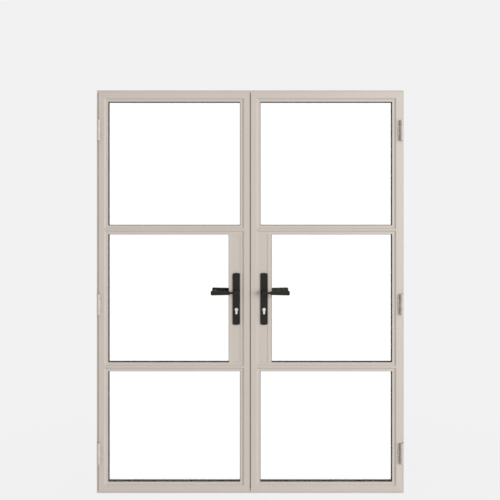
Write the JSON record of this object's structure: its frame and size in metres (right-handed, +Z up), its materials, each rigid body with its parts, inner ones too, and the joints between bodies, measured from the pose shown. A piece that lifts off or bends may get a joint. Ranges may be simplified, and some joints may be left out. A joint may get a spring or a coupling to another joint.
{
  "type": "french doors",
  "caption": "Double french doors in a slim beige frame, with glazed leaves, transoms, black lever handles on long plates, and knuckle hinges.",
  "frame": {"origin": "middle of the bounding box's underside: the frame's underside, on the mid-plane of the leaves", "axes": "+Z up, +X to the right as seen from the hinge side, +Y away from the hinge side towards the side that the leaves don't open to"},
  "size_m": [1.6, 0.177, 2.1],
  "materials": {
    "coat": "beige powder coat, satin, fine orange peel",
    "glass": "clear float glass",
    "rubber": "black sealing rubber",
    "spacer": "black warm-edge spacer",
    "handle": "black powder coat, fine texture",
    "steel": "zinc-plated steel",
    "nickel": "satin nickel"
  },
  "bodies": {
    "frame": {"frame_head": "coat", "frame_threshold": "coat", "frame_jamb_left": "coat", "frame_jamb_right": "coat", "frame_bolt_keeps": "steel", "frame_screws": "steel", "hinge_frame_flags": "coat", "hinge_pins": "coat"},
    "left_leaf": {"left_hinge_stile": "coat", "left_meeting_stile": "coat", "left_top_rail": "coat", "left_bottom_rail": "coat", "left_upper_transom": "coat", "left_lower_transom": "coat", "left_lock_mullion": "coat", "left_lock_panel": "coat", "left_glass_top": "glass", "left_glass_middle": "glass", "left_glass_bottom": "glass", "left_spacers": "spacer", "left_glazing_beads": "coat", "left_gaskets": "rubber", "left_hinge_leaf_flags": "coat", "left_screws": "steel", "left_plate_front": "handle", "left_plate_back": "handle", "left_lock_case": "steel", "left_cylinder_body": "nickel"},
    "left_lever": {"left_lever_front": "handle", "left_lever_back": "handle", "left_spindle": "steel"},
    "left_top_bolt": {"left_top_bolt_rod": "steel"},
    "left_bottom_bolt": {"left_bottom_bolt_rod": "steel"},
    "left_key_plug": {"left_cylinder_plug": "nickel"},
    "right_leaf": {"right_hinge_stile": "coat", "right_meeting_stile": "coat", "right_top_rail": "coat", "right_bottom_rail": "coat", "right_upper_transom": "coat", "right_lower_transom": "coat", "right_lock_mullion": "coat", "right_lock_panel": "coat", "right_glass_top": "glass", "right_glass_middle": "glass", "right_glass_bottom": "glass", "right_spacers": "spacer", "right_glazing_beads": "coat", "right_gaskets": "rubber", "right_hinge_leaf_flags": "coat", "right_screws": "steel", "right_plate_front": "handle", "right_plate_back": "handle", "right_lock_case": "steel", "right_cylinder_body": "nickel"},
    "right_lever": {"right_lever_front": "handle", "right_lever_back": "handle", "right_spindle": "steel"},
    "right_top_bolt": {"right_top_bolt_rod": "steel"},
    "right_bottom_bolt": {"right_bottom_bolt_rod": "steel"},
    "right_key_plug": {"right_cylinder_plug": "nickel"}
  },
  "joints": [
    {"name": "left_leaf_hinge", "type": "hinge", "parent": "frame", "child": "left_leaf", "pos_m": [-0.787, -0.038, 1.05], "axis": [0, 0, -1], "range_deg": [0, 110]},
    {"name": "left_lever_turn", "type": "hinge", "parent": "left_leaf", "child": "left_lever", "pos_m": [-0.072, 0, 1.05], "axis": [0, 1, 0], "range_deg": [0, 45]},
    {"name": "left_top_bolt_slide", "type": "slide", "parent": "left_leaf", "child": "left_top_bolt", "axis": [0, 0, 1], "range_m": [0, 0.0133]},
    {"name": "left_bottom_bolt_slide", "type": "slide", "parent": "left_leaf", "child": "left_bottom_bolt", "axis": [0, 0, -1], "range_m": [0, 0.0133]},
    {"name": "left_key_turn", "type": "hinge", "parent": "left_leaf", "child": "left_key_plug", "pos_m": [-0.072, 0, 0.958], "axis": [0, 1, 0], "range_deg": [0, 360]},
    {"name": "right_leaf_hinge", "type": "hinge", "parent": "frame", "child": "right_leaf", "pos_m": [0.787, -0.038, 1.05], "axis": [0, 0, 1], "range_deg": [0, 110]},
    {"name": "right_lever_turn", "type": "hinge", "parent": "right_leaf", "child": "right_lever", "pos_m": [0.072, 0, 1.05], "axis": [0, -1, 0], "range_deg": [0, 45]},
    {"name": "right_top_bolt_slide", "type": "slide", "parent": "right_leaf", "child": "right_top_bolt", "axis": [0, 0, 1], "range_m": [0, 0.0133]},
    {"name": "right_bottom_bolt_slide", "type": "slide", "parent": "right_leaf", "child": "right_bottom_bolt", "axis": [0, 0, -1], "range_m": [0, 0.0133]},
    {"name": "right_key_turn", "type": "hinge", "parent": "right_leaf", "child": "right_key_plug", "pos_m": [0.072, 0, 0.958], "axis": [0, 1, 0], "range_deg": [0, 360]}
  ],
  "couplings": [
    {"joint": "left_top_bolt_slide", "follows": "left_lever_turn", "m_per_rad": 0.016877},
    {"joint": "left_bottom_bolt_slide", "follows": "left_lever_turn", "m_per_rad": 0.016877},
    {"joint": "right_top_bolt_slide", "follows": "right_lever_turn", "m_per_rad": 0.016877},
    {"joint": "right_bottom_bolt_slide", "follows": "right_lever_turn", "m_per_rad": 0.016877}
  ]
}
